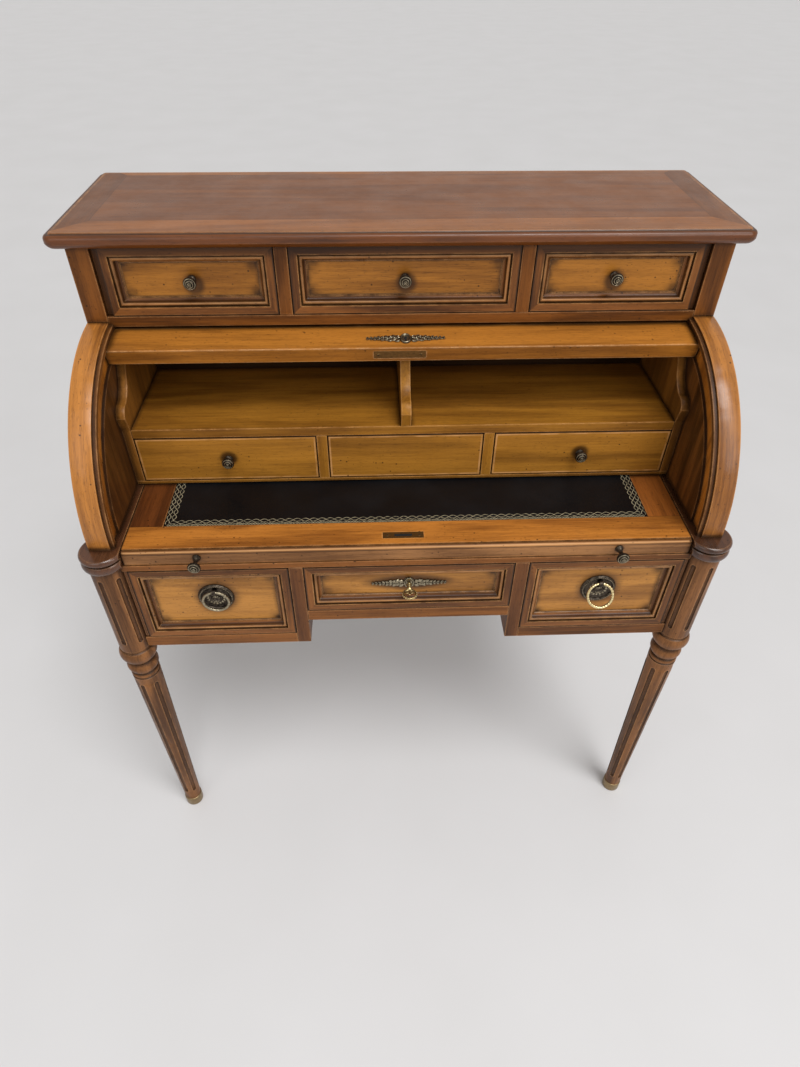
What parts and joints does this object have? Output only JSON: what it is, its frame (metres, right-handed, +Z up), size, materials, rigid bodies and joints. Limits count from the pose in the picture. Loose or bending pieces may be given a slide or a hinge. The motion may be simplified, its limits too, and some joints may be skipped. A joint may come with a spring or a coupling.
{
  "type": "cylinder desk",
  "caption": "Cylinder desk: quarter-round roll over a leather writing slide, small drawers above and inside, a kneehole case of drawers below, on turned fluted legs.",
  "frame": {"origin": "on the floor, under the middle of the desk's box", "axes": "+Z up, the front with the writing slide faces -Y, +X to the user's right"},
  "size_m": [0.976, 0.548, 1.1],
  "materials": {
    "top_wood": "satin",
    "case_wood": "satin",
    "roll_wood": "satin",
    "interior_wood": "satin",
    "leg_wood": "satin",
    "slide_wood": "satin",
    "front_wood": "satin",
    "box_wood": "matte",
    "bronze": "antique",
    "bright_brass": "polished",
    "steel": "plain",
    "leather": "tooled"
  },
  "bodies": {
    "carcass": {"top_board": "top_wood", "upper_sides": "case_wood", "upper_floor": "case_wood", "upper_dividers": "case_wood", "back_panel": "case_wood", "cheek_left": "case_wood", "cheek_right": "case_wood", "track_beads": "case_wood", "roll_tracks": "case_wood", "side_ledges": "case_wood", "slide_bed": "case_wood", "side_panels": "case_wood", "pedestal_partitions": "case_wood", "drawer_floors": "case_wood", "drawer_stiles": "case_wood", "lower_back_panel": "case_wood", "interior_base": "interior_wood", "interior_shelf": "interior_wood", "interior_sides": "interior_wood", "interior_dividers": "interior_wood", "interior_back": "interior_wood", "front_legs": "leg_wood", "rear_legs": "leg_wood", "foot_caps": "bright_brass"},
    "roll": {"roll_rail": "roll_wood", "roll_lock": "bronze", "roll_shell": "roll_wood", "roll_escutcheon": "bronze"},
    "writing_slide": {"slide_board": "slide_wood", "slide_leather": "leather", "slide_strike": "bronze", "slide_knobs": "bronze"},
    "left_ring_pull": {"left_ring": "bronze"},
    "right_ring_pull": {"right_ring": "bright_brass"},
    "bolt": {"lock_bolt": "steel"},
    "key_turn": {"key": "bright_brass"},
    "upper_left_drawer": {"upper_left_drawer_front": "front_wood", "upper_left_drawer_box": "box_wood", "upper_left_drawer_knob": "bronze"},
    "interior_left_drawer": {"interior_left_drawer": "interior_wood", "interior_left_drawer_knob": "bronze"},
    "lower_left_drawer": {"lower_left_drawer_front": "front_wood", "lower_left_drawer_box": "box_wood", "left_ring_plate": "bronze"},
    "upper_middle_drawer": {"upper_middle_drawer_front": "front_wood", "upper_middle_drawer_box": "box_wood", "upper_middle_drawer_knob": "bronze"},
    "interior_middle_drawer": {"interior_middle_drawer": "interior_wood"},
    "upper_right_drawer": {"upper_right_drawer_front": "front_wood", "upper_right_drawer_box": "box_wood", "upper_right_drawer_knob": "bronze"},
    "interior_right_drawer": {"interior_right_drawer": "interior_wood", "interior_right_drawer_knob": "bronze"},
    "lower_right_drawer": {"lower_right_drawer_front": "front_wood", "lower_right_drawer_box": "box_wood", "right_ring_plate": "bronze"},
    "lower_centre_drawer": {"lower_centre_drawer_front": "front_wood", "lower_centre_drawer_box": "box_wood", "drawer_escutcheon": "bronze", "drawer_lock": "steel"}
  },
  "joints": [
    {"name": "roll_hinge", "type": "hinge", "parent": "carcass", "child": "roll", "pos_m": [0, 0, 0.73], "axis": [-1, 0, 0], "range_deg": [-74.2, 0]},
    {"name": "writing_slide_run", "type": "slide", "parent": "carcass", "child": "writing_slide", "axis": [0, -1, 0], "range_m": [0, 0.22]},
    {"name": "upper_left_drawer_run", "type": "slide", "parent": "carcass", "child": "upper_left_drawer", "axis": [0, -1, 0], "range_m": [0, 0.18]},
    {"name": "upper_middle_drawer_run", "type": "slide", "parent": "carcass", "child": "upper_middle_drawer", "axis": [0, -1, 0], "range_m": [0, 0.18]},
    {"name": "upper_right_drawer_run", "type": "slide", "parent": "carcass", "child": "upper_right_drawer", "axis": [0, -1, 0], "range_m": [0, 0.18]},
    {"name": "interior_left_drawer_run", "type": "slide", "parent": "carcass", "child": "interior_left_drawer", "axis": [0, -1, 0], "range_m": [0, 0.13]},
    {"name": "interior_middle_drawer_run", "type": "slide", "parent": "carcass", "child": "interior_middle_drawer", "axis": [0, -1, 0], "range_m": [0, 0.13]},
    {"name": "interior_right_drawer_run", "type": "slide", "parent": "carcass", "child": "interior_right_drawer", "axis": [0, -1, 0], "range_m": [0, 0.13]},
    {"name": "lower_left_drawer_run", "type": "slide", "parent": "carcass", "child": "lower_left_drawer", "axis": [0, -1, 0], "range_m": [0, 0.26]},
    {"name": "lower_centre_drawer_run", "type": "slide", "parent": "carcass", "child": "lower_centre_drawer", "axis": [0, -1, 0], "range_m": [0, 0.26]},
    {"name": "lower_right_drawer_run", "type": "slide", "parent": "carcass", "child": "lower_right_drawer", "axis": [0, -1, 0], "range_m": [0, 0.26]},
    {"name": "left_ring_swing", "type": "hinge", "parent": "lower_left_drawer", "child": "left_ring_pull", "pos_m": [-0.3, -0.244, 0.64035], "axis": [-1, 0, 0], "range_deg": [0, 75]},
    {"name": "right_ring_swing", "type": "hinge", "parent": "lower_right_drawer", "child": "right_ring_pull", "pos_m": [0.3, -0.244, 0.64035], "axis": [-1, 0, 0], "range_deg": [-28, 47]},
    {"name": "key_spin", "type": "hinge", "parent": "lower_centre_drawer", "child": "key_turn", "pos_m": [0, -0.236, 0.6457], "axis": [0, 1, 0], "range_deg": [-90, 0]},
    {"name": "bolt_throw", "type": "slide", "parent": "lower_centre_drawer", "child": "bolt", "axis": [0, 0, 1], "range_m": [0, 0.006]}
  ],
  "couplings": [
    {"joint": "key_spin", "follows": "bolt_throw", "rad_per_m": -261.8}
  ]
}
